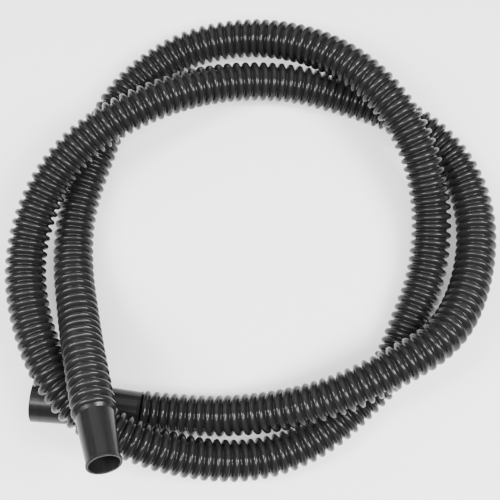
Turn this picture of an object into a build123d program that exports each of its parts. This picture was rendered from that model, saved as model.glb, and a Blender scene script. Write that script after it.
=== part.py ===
from build123d import *
import math
import os

# Corrugated vacuum hose lying in a loose coil of about two turns, with a smooth moulded cuff on
# each end. The floor is z = 0. X and Y are measured from the middle of the coil, and the cuffs
# lie on its -X, -Y side. The corrugated wall is drawn as a plain tube over its rib crests.

# ---- hose, millimetres -----------------------------------------------------------------------
hose_od = 37.5              # over the rib crests
hose_bore = 26.6            # inside the rib roots
strand_gap = 0.6            # free space between a strand and the one that lies over it

# ---- large cuff, a tapered sleeve that pushes over a 1 1/2 inch pool fitting -----------------
large_cuff_length = 98.0
large_cuff_hose_od = 34.0
large_cuff_mouth_od = 41.4
large_socket_d = 38.1
large_socket_depth = 16.0
large_cuff_wall = 1.7       # wall behind the socket
ring_setback = 10.0         # shallow groove round the sleeve, measured from the mouth
ring_width = 1.2
ring_depth = 0.35

# ---- small cuff, a shorter sleeve with a rolled lip ------------------------------------------
small_cuff_length = 47.0
small_cuff_hose_od = 31.8
small_cuff_mouth_od = 27.8
small_socket_d = 25.0
small_socket_depth = 28.0
lip_od = 29.4
lip_width = 2.6

# ---- joint between a cuff and the hose -------------------------------------------------------
spigot_length = 18.0        # the cuff's end that is bonded inside the hose
spigot_wall = 1.7
glue_gap = 0.1              # radial, between spigot and hose bore
shoulder_setback = 1.25     # radial, from the rib crests in to the low shoulder that they butt on
shoulder_length = 2.5
rim_round = 0.5

# ---- route of the hose, from the large cuff to the small one ---------------------------------
# x, y, hose layers below, cuff layers below: a point with no layer below lies on the floor
route = [
    (-103, -157.5, 0, 0), (-54, -162.9, 0, 0), (6, -161, 0.3, 0), (64.5, -149.5, 0.87, 0),
    (119.5, -124, 1.1, 0), (171, -94, 0.95, 0), (200, -45, 0.45, 0), (212, 14, 0.12, 0),
    (203, 63.5, 0, 0), (177, 101.5, 0, 0), (138, 129, 0, 0), (91, 145.5, 0, 0),
    (34, 159, 0.2, 0), (-34, 154, 0.5, 0), (-95.5, 128, 1.02, 0), (-157, 91, 1.06, 0),
    (-197, 40, 0.8, 0), (-213, -26, 0.6, 0), (-197, -94, 0, 0.75), (-162, -152, 0, 0.985),
    (-110, -184, 0, 0.885), (-52, -201, 0.45, 0), (8, -202, 0.1, 0), (59, -181.5, 0, 0),
    (95, -150, 0, 0), (126, -120, 0, 0), (143, -80, 0, 0), (162.5, -34, 0, 0),
    (169.5, 26, 0.2, 0), (154, 84, 0.9, 0), (118, 140, 1.12, 0), (67, 184, 0.77, 0),
    (2, 206, 0.28, 0), (-61.5, 198.5, 0.08, 0), (-107, 171, 0, 0), (-138, 134, 0, 0),
    (-153, 88, 0, 0), (-170.3, 32, 0, 0), (-171, -22, 0.07, 0), (-159, -74, 0.66, 0),
    (-144.4, -119.2, 0.666, 0.91), (-130.2, -162.7, 1.313, 0.91),
]
arc_share = 0.45            # part of the shorter run that each arc takes up

hose_r = hose_od / 2
spigot_r = hose_bore / 2 - glue_gap
spigot_bore_r = spigot_r - spigot_wall
shoulder_r = hose_r - shoulder_setback


def route_points():
    """Turns layers into heights, and lifts the first point so the large cuff's mouth rests."""
    hose_layer = hose_od + strand_gap
    cuff_layer = large_cuff_mouth_od + strand_gap
    points = []
    for x, y, hoses, cuffs in route:
        points.append(Vector(x, y, hose_r + hoses * hose_layer + cuffs * cuff_layer))
    first, second = points[0], points[1]
    run = math.hypot(second.X - first.X, second.Y - first.Y)
    rise = large_cuff_mouth_od / 2 - hose_r
    points[0] = Vector(first.X, first.Y, hose_r + rise * run / (run + large_cuff_length))
    return points


def corner_radii(points):
    """Gives each corner the largest arc that its two runs allow."""
    radii = []
    for before, corner, after in zip(points, points[1:], points[2:]):
        arriving, leaving = corner - before, after - corner
        turn = math.radians(arriving.get_angle(leaving))
        shorter = min(arriving.length, leaving.length)
        radii.append(arc_share * shorter / math.tan(turn / 2))
    return radii


def corrugated_hose(points):
    """Plain tube over the rib crests, open from end to end."""
    radii = corner_radii(points)
    print("arc radii", [round(radius) for radius in radii])
    path = FilletPolyline(*points, radius=radii)
    section = Plane(origin=path @ 0, z_dir=path % 0) * (Circle(hose_r) - Circle(hose_bore / 2))
    tube = sweep(section, path=path)
    expected = section.area * path.length
    print("hose length", round(path.length, 1), "volume over section x length",
          round(tube.volume / expected, 5))
    return tube


def sleeve(outline):
    """Turns an (r, z) outline about Z: z = 0 is where the hose ends, and the mouth is at +z."""
    face = make_face(Polyline(*[(r, 0, z) for r, z in outline], close=True))
    return revolve(face, axis=Axis.Z)


def round_rims(solid, height, radius):
    """Rounds the rim edges that lie at one height."""
    edges = solid.edges().filter_by(GeomType.CIRCLE).filter_by_position(Axis.Z, height, height)
    return fillet(edges, radius)


def large_cuff():
    """Tapered sleeve with a socket, a groove ring near its mouth, and a bonded spigot."""
    length = large_cuff_length
    base_r, mouth_r = large_cuff_hose_od / 2, large_cuff_mouth_od / 2
    slope = (mouth_r - base_r) / (length - shoulder_length)

    def outer(z):
        return base_r + slope * (z - shoulder_length)

    ring_top = length - ring_setback
    ring_foot = ring_top - ring_width
    stop = length - large_socket_depth
    outline = [
        (spigot_bore_r, -spigot_length), (spigot_r, -spigot_length), (spigot_r, 0),
        (shoulder_r, 0), (base_r, shoulder_length),
        (outer(ring_foot), ring_foot), (outer(ring_foot) - ring_depth, ring_foot),
        (outer(ring_top) - ring_depth, ring_top), (outer(ring_top), ring_top),
        (mouth_r, length), (large_socket_d / 2, length), (large_socket_d / 2, stop),
        (outer(stop) - large_cuff_wall, stop),
        (base_r - large_cuff_wall, shoulder_length), (spigot_bore_r, -shoulder_length),
    ]
    return round_rims(sleeve(outline), length, rim_round)


def small_cuff():
    """Short sleeve that narrows to a rolled lip, with a straight socket and a bonded spigot."""
    length = small_cuff_length
    base_r, mouth_r = small_cuff_hose_od / 2, small_cuff_mouth_od / 2
    stop = length - small_socket_depth
    outline = [
        (spigot_bore_r, -spigot_length), (spigot_r, -spigot_length), (spigot_r, 0),
        (shoulder_r, 0), (base_r, shoulder_length),
        (mouth_r, length - lip_width), (lip_od / 2, length - lip_width), (lip_od / 2, length),
        (small_socket_d / 2, length), (small_socket_d / 2, stop),
        (spigot_bore_r, -shoulder_length),
    ]
    cuff = round_rims(sleeve(outline), length, rim_round)
    step = (lip_od - small_cuff_mouth_od) / 2
    return round_rims(cuff, length - lip_width, min(rim_round, 0.4 * step))


def on_end(end, inner):
    """Frame on an end of the route, with Z pointing out of the hose."""
    return Plane(origin=end, z_dir=end - inner)


points = route_points()
pieces = {
    "corrugated_hose": corrugated_hose(points),
    "large_cuff": on_end(points[0], points[1]) * large_cuff(),
    "small_cuff": on_end(points[-1], points[-2]) * small_cuff(),
}

os.makedirs("parts", exist_ok=True)
for name, piece in pieces.items():
    piece.label = name
    export_step(piece, f"parts/{name}.step")
    box = piece.bounding_box()
    print(name, [round(v, 2) for v in (*box.min, *box.max)], "volume", round(piece.volume, 1))
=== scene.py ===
import logging
import math
import random
from dataclasses import dataclass
from enum import Enum
from typing import Any

import bmesh
import bpy
import numpy as np
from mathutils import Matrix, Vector

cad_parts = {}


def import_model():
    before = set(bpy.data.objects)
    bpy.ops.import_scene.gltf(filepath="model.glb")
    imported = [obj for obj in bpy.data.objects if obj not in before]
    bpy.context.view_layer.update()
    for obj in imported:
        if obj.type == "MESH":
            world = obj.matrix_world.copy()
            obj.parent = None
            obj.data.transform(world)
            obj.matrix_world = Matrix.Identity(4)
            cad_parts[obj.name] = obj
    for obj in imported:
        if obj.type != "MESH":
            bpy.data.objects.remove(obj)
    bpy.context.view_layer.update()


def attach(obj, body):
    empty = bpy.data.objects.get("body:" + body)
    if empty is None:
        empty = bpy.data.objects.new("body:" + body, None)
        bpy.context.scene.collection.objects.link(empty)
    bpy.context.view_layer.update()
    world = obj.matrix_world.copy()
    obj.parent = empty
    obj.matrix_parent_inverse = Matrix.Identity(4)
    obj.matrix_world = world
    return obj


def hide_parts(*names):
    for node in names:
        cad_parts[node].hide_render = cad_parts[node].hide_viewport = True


log = logging.getLogger("vacuum_hose")

Point = tuple[float, float, float]

# numbers of the Mix node's colour sockets, whose names it also uses for plain values
MIX_LOW, MIX_HIGH, MIX_RESULT = 6, 7, 2

MERGE_DISTANCE = 1e-6   # metres: vertices nearer than this become one
SAME_PLACE = 1e-9       # metres: points of a line nearer than this are the same one


class Slot(Enum):
    """Material slots of the record that the pieces take their finish from."""

    HOSE = "hose"
    CUFF = "cuff"


# ---- shader writing ---------------------------------------------------------------------------


class Socket:
    """A value socket that can be used in a Python expression."""

    def __init__(self, book: "ShaderBook", output: Any) -> None:
        """Wraps an output socket.

        Args:
            book: the material that the socket belongs to.
            output: the node output to wrap.
        """
        self.book = book
        self.output = output

    def _math(self, operation: str, left: Any, right: Any) -> "Socket":
        """Adds a Math node.

        Args:
            operation: the Math node's operation.
            left: first number or socket.
            right: second number or socket.

        Returns:
            The node's value.
        """
        return self.book.node("ShaderNodeMath", {"operation": operation}, {0: left, 1: right})

    def __add__(self, other: Any) -> "Socket":
        """self + other."""
        return self._math("ADD", self, other)

    __radd__ = __add__

    def __sub__(self, other: Any) -> "Socket":
        """self - other."""
        return self._math("SUBTRACT", self, other)

    def __rsub__(self, other: Any) -> "Socket":
        """other - self."""
        return self._math("SUBTRACT", other, self)

    def __mul__(self, other: Any) -> "Socket":
        """self * other."""
        return self._math("MULTIPLY", self, other)

    __rmul__ = __mul__


class ShaderBook:
    """One material and the nodes that are written into it."""

    def __init__(self, name: str) -> None:
        """Starts a material with one Principled shader.

        Args:
            name: the material's name.
        """
        self.material = bpy.data.materials.new(name)
        self.material.use_nodes = True
        self.tree = self.material.node_tree
        self.shader = next(n for n in self.tree.nodes if n.type == "BSDF_PRINCIPLED")

    def node(
        self,
        kind: str,
        settings: dict[str, Any] | None = None,
        inputs: dict[Any, Any] | None = None,
        output: Any = 0,
    ) -> Socket:
        """Adds any node.

        Args:
            kind: the node's type.
            settings: attributes of the node, which are set before its inputs.
            inputs: input name or number, with a value or a Socket.
            output: name or number of the output to hand back.

        Returns:
            The chosen output as a Socket.
        """
        made = self.tree.nodes.new(kind)
        for key, value in (settings or {}).items():
            setattr(made, key, value)
        for key, value in (inputs or {}).items():
            self.feed(made.inputs[key], value)
        return Socket(self, made.outputs[output])

    def feed(self, target: Any, value: Any) -> None:
        """Links a Socket to an input, or sets the input's value.

        Args:
            target: the input socket.
            value: a Socket, a number or a tuple.
        """
        if isinstance(value, Socket):
            self.tree.links.new(value.output, target)
        else:
            target.default_value = value

    def dress(self, **inputs: Any) -> None:
        """Feeds the Principled shader.

        Args:
            **inputs: socket names with underscores for spaces.
        """
        for name, value in inputs.items():
            self.feed(self.shader.inputs[name.replace("_", " ")], value)

    def blend(self, factor: Any, low: tuple[float, ...], high: tuple[float, ...]) -> Socket:
        """Mixes two colours.

        Args:
            factor: share of the second colour.
            low: first colour.
            high: second colour.

        Returns:
            The mixed colour.
        """
        return self.node(
            "ShaderNodeMix",
            {"data_type": "RGBA"},
            {"Factor": factor, MIX_LOW: (*low, 1.0), MIX_HIGH: (*high, 1.0)},
            output=MIX_RESULT,
        )

    def noise(self, place: Socket, scale: float, detail: float) -> Socket:
        """Plain noise on a set of coordinates.

        Args:
            place: the coordinates.
            scale: cells to the metre.
            detail: octaves.

        Returns:
            The noise value, from 0 to 1.
        """
        return self.node(
            "ShaderNodeTexNoise", inputs={"Vector": place, "Scale": scale, "Detail": detail}
        )

    def bump(self, height: Socket, strength: float, distance: float) -> Socket:
        """Turns a height into a normal.

        Args:
            height: the height value.
            strength: the Bump node's strength.
            distance: the height's size in metres.

        Returns:
            The normal.
        """
        return self.node(
            "ShaderNodeBump",
            inputs={"Height": height, "Strength": strength, "Distance": distance},
        )


@dataclass(frozen=True)
class MouldedPlastic:
    """Satin black polyethylene, as it comes from the mould."""

    name: str
    dark: tuple[float, float, float]
    light: tuple[float, float, float]
    roughness: float
    roughness_swing: float
    grain: float
    streaks: float                  # share of fine streaks in the tone and the grain
    streak_squeeze: float           # below 1 the streaks run along the piece, above 1 round it
    ior: float = 1.25
    patch_scale: float = 9.0        # cells to the metre: cloudy patches of the tone
    fine_scale: float = 900.0       # pinprick grain
    streak_scale: float = 420.0     # scuffs and moulding lines
    grain_depth: float = 0.0002     # metres

    def material(self, axis: Vector | None = None) -> bpy.types.Material:
        """Builds the finish.

        Args:
            axis: the piece's straight axis, or None for a piece with a UV map of its own, with
                u round the tube and v along it, in metres.

        Returns:
            The finished material.
        """
        book = ShaderBook(self.name)
        if axis is None:
            place = book.node("ShaderNodeUVMap", {"uv_map": "along"})
            squeeze = (1.0, self.streak_squeeze, 1.0)
        else:
            coordinates = book.node("ShaderNodeTexCoord", output="Object")
            turn = axis.rotation_difference(Vector((0.0, 0.0, 1.0))).to_euler()
            place = book.node(
                "ShaderNodeMapping", inputs={"Vector": coordinates, "Rotation": turn}
            )
            squeeze = (1.0, 1.0, self.streak_squeeze)
        patch = book.noise(place, self.patch_scale, detail=3.0)
        fine = book.noise(place, self.fine_scale, detail=2.0)
        drawn = book.node("ShaderNodeMapping", inputs={"Vector": place, "Scale": squeeze})
        streak = book.noise(drawn, self.streak_scale, detail=4.0)
        tone = streak * self.streaks + patch * (1.0 - self.streaks)
        height = streak * self.streaks + fine * (1.0 - self.streaks)
        book.dress(
            Base_Color=book.blend(tone, self.dark, self.light),
            Roughness=(tone - 0.5) * self.roughness_swing + self.roughness,
            Normal=book.bump(height, self.grain, self.grain_depth),
            IOR=self.ior,
        )
        return book.material


# ---- the hose ---------------------------------------------------------------------------------


@dataclass(frozen=True)
class Route:
    """Where the hose lies: x, y and the layers below each point, from large to small cuff."""

    hose_od: float = 0.0375
    strand_gap: float = 0.0006
    cuff_mouth_od: float = 0.0414
    cuff_length: float = 0.098
    smoothness: int = 24            # steps between two points of the line
    points: tuple[tuple[float, float, float, float], ...] = (
        (-0.103, -0.1575, 0, 0), (-0.054, -0.1629, 0, 0), (0.006, -0.161, 0.3, 0),
        (0.0645, -0.1495, 0.87, 0), (0.1195, -0.124, 1.1, 0), (0.171, -0.094, 0.95, 0),
        (0.2, -0.045, 0.45, 0), (0.212, 0.014, 0.12, 0), (0.203, 0.0635, 0, 0),
        (0.177, 0.1015, 0, 0), (0.138, 0.129, 0, 0), (0.091, 0.1455, 0, 0),
        (0.034, 0.159, 0.2, 0), (-0.034, 0.154, 0.5, 0), (-0.0955, 0.128, 1.02, 0),
        (-0.157, 0.091, 1.06, 0), (-0.197, 0.04, 0.8, 0), (-0.213, -0.026, 0.6, 0),
        (-0.197, -0.094, 0, 0.75), (-0.162, -0.152, 0, 0.985), (-0.11, -0.184, 0, 0.885),
        (-0.052, -0.201, 0.45, 0), (0.008, -0.202, 0.1, 0), (0.059, -0.1815, 0, 0),
        (0.095, -0.15, 0, 0), (0.126, -0.12, 0, 0), (0.143, -0.08, 0, 0),
        (0.1625, -0.034, 0, 0), (0.1695, 0.026, 0.2, 0), (0.154, 0.084, 0.9, 0),
        (0.118, 0.14, 1.12, 0), (0.067, 0.184, 0.77, 0), (0.002, 0.206, 0.28, 0),
        (-0.0615, 0.1985, 0.08, 0), (-0.107, 0.171, 0, 0), (-0.138, 0.134, 0, 0),
        (-0.153, 0.088, 0, 0), (-0.1703, 0.032, 0, 0), (-0.171, -0.022, 0.07, 0),
        (-0.159, -0.074, 0.66, 0), (-0.1444, -0.1192, 0.666, 0.91),
        (-0.1302, -0.1627, 1.313, 0.91),
    )

    def control_points(self) -> list[Vector]:
        """Gives the route its heights.

        Returns:
            The control points of the hose's centreline, in metres.
        """
        radius = self.hose_od / 2
        hose_layer = self.hose_od + self.strand_gap
        cuff_layer = self.cuff_mouth_od + self.strand_gap
        placed = [
            Vector((x, y, radius + hoses * hose_layer + cuffs * cuff_layer))
            for x, y, hoses, cuffs in self.points
        ]
        run = (placed[1].xy - placed[0].xy).length
        rise = self.cuff_mouth_od / 2 - radius
        placed[0].z = radius + rise * run / (run + self.cuff_length)
        return placed

    def line(self) -> np.ndarray:
        """Reads the smooth centreline from a NURBS spline.

        Returns:
            Points close together along the centreline, one row each.
        """
        data = bpy.data.curves.new("hose_route", "CURVE")
        data.dimensions = "3D"
        spline = data.splines.new("NURBS")
        control = self.control_points()
        spline.points.add(len(control) - 1)
        for slot, place in zip(spline.points, control):
            slot.co = (*place, 1.0)
        spline.order_u = 3
        spline.use_endpoint_u = True
        spline.resolution_u = self.smoothness
        holder = bpy.data.objects.new("hose_route", data)
        bpy.context.scene.collection.objects.link(holder)
        bpy.context.view_layer.update()
        mesh = bpy.data.meshes.new_from_object(holder)
        points = np.empty(len(mesh.vertices) * 3)
        mesh.vertices.foreach_get("co", points)
        bpy.data.objects.remove(holder)
        bpy.data.meshes.remove(mesh)
        return points.reshape(-1, 3)


class Centreline:
    """A smooth line with a frame that doesn't twist along it."""

    def __init__(self, points: np.ndarray) -> None:
        """Measures the line and carries a frame along it.

        Args:
            points: points along the line.
        """
        steps = np.linalg.norm(np.diff(points, axis=0), axis=1)
        kept = np.concatenate(([True], steps > SAME_PLACE))
        self.points = points[kept]
        steps = np.linalg.norm(np.diff(self.points, axis=0), axis=1)
        self.reach = np.concatenate(([0.0], np.cumsum(steps)))
        self.length = float(self.reach[-1])
        tangents = np.gradient(self.points, self.reach, axis=0)
        self.tangents = tangents / np.linalg.norm(tangents, axis=1)[:, None]
        self.sides = self._carry(np.array([0.0, 0.0, 1.0]))

    def _carry(self, start: np.ndarray) -> np.ndarray:
        """Carries a side vector along the line without twist.

        Args:
            start: the side vector at the start.

        Returns:
            One unit side vector for each point.
        """
        sides = []
        side = start
        for tangent in self.tangents:
            side = side - tangent * side.dot(tangent)
            side = side / np.linalg.norm(side)
            sides.append(side)
        return np.array(sides)

    def at(self, distance: np.ndarray) -> tuple[np.ndarray, np.ndarray, np.ndarray]:
        """Reads the line at some distances from its start.

        Args:
            distance: distances along the line.

        Returns:
            Places, first side vectors and second side vectors.
        """
        def read(values: np.ndarray) -> np.ndarray:
            """Interpolates each column."""
            return np.stack(
                [np.interp(distance, self.reach, values[:, k]) for k in range(3)], axis=1
            )

        place, tangent, side = read(self.points), read(self.tangents), read(self.sides)
        tangent /= np.linalg.norm(tangent, axis=1)[:, None]
        side -= tangent * (side * tangent).sum(axis=1)[:, None]
        side /= np.linalg.norm(side, axis=1)[:, None]
        return place, side, np.cross(tangent, side)


@dataclass
class CorrugatedHose:
    """The ribbed hose: one rib profile repeated along the tube, then laid on its route."""

    route: Route
    crest_r: float = 0.01875
    root_r: float = 0.0143
    bore_r: float = 0.0133
    pitch: float = 0.00845
    # half a rib: how far from the crest, in pitches, and how deep below it, in rib depths
    half_rib: tuple[tuple[float, float], ...] = (
        (0.0, 0.0), (0.13, 0.05), (0.24, 0.22), (0.33, 0.55), (0.40, 0.87), (0.5, 1.0),
    )
    crest_play: float = 0.0001      # how much the moulded crests differ in radius
    around: int = 32
    ribs_to_inner_ring: int = 4
    uv_radius: float = 0.0165       # between roots and crests, for the width of the UV map
    path_step: int = 3              # every third point of the line goes into the list of path points in _declare
    seed: int = 4

    def build(self, finish: MouldedPlastic) -> bpy.types.Object:
        """Builds, lays and dresses the hose.

        Args:
            finish: the hose's finish.

        Returns:
            The finished hose.
        """
        line = Centreline(self.route.line())
        count = round(line.length / self.pitch)
        bm = bmesh.new()
        self._spin(bm, self._wall_outline(line.length, count), self.around)
        bmesh.ops.remove_doubles(bm, verts=bm.verts, dist=MERGE_DISTANCE)
        bmesh.ops.recalc_face_normals(bm, faces=bm.faces)
        self._map_uv(bm)
        mesh = bpy.data.meshes.new("corrugated_hose_skin")
        bm.to_mesh(mesh)
        bm.free()
        self._lay(mesh, line)
        mesh.polygons.foreach_set("use_smooth", [True] * len(mesh.polygons))
        mesh.materials.append(finish.material())
        hose = bpy.data.objects.new("corrugated_hose_skin", mesh)
        bpy.context.scene.collection.objects.link(hose)
        self._declare(hose, line)
        log.info("hose: %d ribs, %d faces, %.3f m", count, len(mesh.polygons), line.length)
        return hose

    def _wall_outline(self, length: float, count: int) -> list[tuple[float, float]]:
        """Outline of the hose wall: out along the ribs, and back along the bore.

        Args:
            length: the hose's length.
            count: number of ribs.

        Returns:
            (radius, distance) pairs, a closed loop.
        """
        pitch = length / count
        dice = random.Random(self.seed)
        rising = [(-away, drop) for away, drop in self.half_rib[:0:-1]]
        falling = list(self.half_rib[:-1])
        outer = []
        for rib in range(count):
            crest_r = self.crest_r - dice.uniform(0.0, self.crest_play)
            depth = crest_r - self.root_r
            outer += [
                (crest_r - drop * depth, (rib + 0.5 + away) * pitch)
                for away, drop in rising + falling
            ]
        outer.append((self.root_r, length))
        rows = count // self.ribs_to_inner_ring
        inner = [(self.bore_r, length * (1 - row / rows)) for row in range(rows + 1)]
        return outer + inner

    @staticmethod
    def _spin(bm: bmesh.types.BMesh, outline: list[tuple[float, float]], steps: int) -> None:
        """Spins a closed outline about Z.

        Args:
            bm: the mesh to add to.
            outline: (radius, distance) pairs.
            steps: segments round the turn.
        """
        verts = [bm.verts.new((radius, 0.0, distance)) for radius, distance in outline]
        edges = [bm.edges.new(pair) for pair in zip(verts, verts[1:] + verts[:1])]
        bmesh.ops.spin(
            bm, geom=verts + edges, cent=(0, 0, 0), axis=(0, 0, 1),
            angle=math.tau, steps=steps, use_merge=True,
        )

    def _map_uv(self, bm: bmesh.types.BMesh) -> None:
        """Gives the straight tube a UV map in metres: round the tube, and along it.

        Args:
            bm: the straight tube.
        """
        layer = bm.loops.layers.uv.new("along")
        for face in bm.faces:
            middle = face.calc_center_median()
            base = math.atan2(middle.y, middle.x)
            for loop in face.loops:
                place = loop.vert.co
                turn = math.atan2(place.y, place.x) - base
                turn = (turn + math.pi) % math.tau - math.pi
                loop[layer].uv = ((base + turn) * self.uv_radius, place.z)

    @staticmethod
    def _lay(mesh: bpy.types.Mesh, line: Centreline) -> None:
        """Moves the straight tube's vertices on to the centreline.

        Args:
            mesh: the straight tube along Z.
            line: the centreline.
        """
        straight = np.empty(len(mesh.vertices) * 3)
        mesh.vertices.foreach_get("co", straight)
        straight = straight.reshape(-1, 3)
        place, side, other = line.at(straight[:, 2])
        laid = place + side * straight[:, :1] + other * straight[:, 1:2]
        mesh.vertices.foreach_set("co", laid.ravel())
        mesh.update()

    def _declare(self, hose: bpy.types.Object, line: Centreline) -> None:
        """Attaches the hose to the root body, hides the CAD hose and lists path points along the
        line, which are not passed on.

        Args:
            hose: the hose's object.
            line: its centreline.
        """
        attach(hose, "root")
        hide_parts("corrugated_hose")
        [tuple(p) for p in line.points[:: self.path_step]] + [tuple(line.points[-1])]


# ---- the cuffs --------------------------------------------------------------------------------


@dataclass
class Cuff:
    """A smooth moulded end sleeve, whose CAD shape stays as it is."""

    node: str
    axis: Vector

    def dress(self, finish: MouldedPlastic) -> None:
        """Gives the cuff its finish, with the moulding streaks along its axis.

        Args:
            finish: the cuff's finish.
        """
        cuff = bpy.data.objects[self.node]
        material = finish.material(self.axis)
        if not cuff.material_slots:
            cuff.data.materials.append(material)
        for slot in cuff.material_slots:
            slot.material = material
        log.info("%s: %d faces", self.node, len(cuff.data.polygons))


# ---- floor, lights and camera -----------------------------------------------------------------


@dataclass(frozen=True)
class Softbox:
    """One soft light, which points at the middle of the coil."""

    name: str
    away: Point                     # direction from the coil to the light
    size: tuple[float, float]       # its sides, across and along, in metres
    power: float                    # watts
    distance: float = 1.6

    def hang(self) -> None:
        """Adds the light to the scene."""
        light = bpy.data.lights.new(self.name, "AREA")
        light.shape = "RECTANGLE"
        light.size, light.size_y = self.size
        light.energy = self.power
        away = Vector(self.away)
        holder = bpy.data.objects.new(self.name, light)
        holder.location = away.normalized() * self.distance
        holder.rotation_euler = away.to_track_quat("Z", "Y").to_euler()
        bpy.context.scene.collection.objects.link(holder)


SIDE_TILT = math.radians(36.0)      # how far the side lights lean from straight overhead
SOFTBOXES = (
    Softbox("softbox_left", (-math.sin(SIDE_TILT), -0.12, math.cos(SIDE_TILT)), (0.36, 0.8), 54.0),
    Softbox("softbox_right", (math.sin(SIDE_TILT), -0.12, math.cos(SIDE_TILT)), (0.36, 0.8), 68.0),
    Softbox("overhead", (0.0, -0.43, 1.0), (1.4, 0.34), 44.0),
    Softbox("back", (0.0, 0.8, 1.0), (2.4, 1.2), 20.0),
)


@dataclass
class Studio:
    """A plain pale floor, soft lights and the camera."""

    softboxes: tuple[Softbox, ...] = SOFTBOXES
    aim: Point = (-0.004, -0.008, 0.020)
    distance: float = 0.832
    elevation: float = 78.0
    lens: float = 63.4
    sensor: float = 36.0
    floor_half_side: float = 6.0
    floor_height: float = -0.0002   # just under the coil
    floor_grey: float = 0.62
    floor_glow: float = 0.3
    sky_strength: float = 0.22

    def build(self) -> None:
        """Adds floor, sky, lights and camera."""
        self._floor()
        self._sky()
        for softbox in self.softboxes:
            softbox.hang()
        self._camera()

    def _floor(self) -> None:
        """A floor that is evenly pale all over."""
        bm = bmesh.new()
        bmesh.ops.create_grid(bm, x_segments=1, y_segments=1, size=self.floor_half_side)
        mesh = bpy.data.meshes.new("floor")
        bm.to_mesh(mesh)
        bm.free()
        floor = bpy.data.objects.new("floor", mesh)
        floor.location.z = self.floor_height
        bpy.context.scene.collection.objects.link(floor)
        book = ShaderBook("floor_white")
        grey = self.floor_grey
        book.dress(
            Base_Color=(grey, grey, grey, 1.0), Roughness=1.0, Specular_IOR_Level=0.0,
            Emission_Color=(1.0, 1.0, 1.0, 1.0), Emission_Strength=self.floor_glow,
        )
        mesh.materials.append(book.material)

    def _sky(self) -> None:
        """Even white surroundings."""
        world = bpy.data.worlds.new("surroundings")
        world.use_nodes = True
        background = world.node_tree.nodes["Background"]
        background.inputs["Color"].default_value = (1.0, 1.0, 1.0, 1.0)
        background.inputs["Strength"].default_value = self.sky_strength
        bpy.context.scene.world = world

    def _camera(self) -> None:
        """The camera, looking steeply down from the cuffs' side."""
        data = bpy.data.cameras.new("camera")
        data.lens = self.lens
        data.sensor_width = self.sensor
        camera = bpy.data.objects.new("camera", data)
        tilt = math.radians(self.elevation)
        away = Vector((0.0, -math.cos(tilt), math.sin(tilt)))
        camera.location = Vector(self.aim) + away * self.distance
        camera.rotation_euler = away.to_track_quat("Z", "Y").to_euler()
        bpy.context.scene.collection.objects.link(camera)
        bpy.context.scene.camera = camera


# ---- everything together ----------------------------------------------------------------------

FINISHES = {
    Slot.HOSE: MouldedPlastic(
        name="hose_black", dark=(0.005, 0.005, 0.0052), light=(0.011, 0.011, 0.0113),
        roughness=0.19, roughness_swing=0.14, grain=0.20, streaks=0.35, streak_squeeze=4.0,
    ),
    Slot.CUFF: MouldedPlastic(
        name="cuff_charcoal", dark=(0.003, 0.003, 0.0031), light=(0.011, 0.011, 0.0113),
        roughness=0.25, roughness_swing=0.14, grain=0.14, streaks=0.7, streak_squeeze=0.06,
    ),
}


def main() -> None:
    """Builds the hose, dresses the cuffs and lights the scene."""
    logging.basicConfig(level=logging.INFO, format="%(message)s")
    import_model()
    route = Route()
    control = route.control_points()
    CorrugatedHose(route).build(FINISHES[Slot.HOSE])
    Cuff("large_cuff", control[0] - control[1]).dress(FINISHES[Slot.CUFF])
    Cuff("small_cuff", control[-1] - control[-2]).dress(FINISHES[Slot.CUFF])
    Studio().build()


if __name__ == "__main__":
    main()
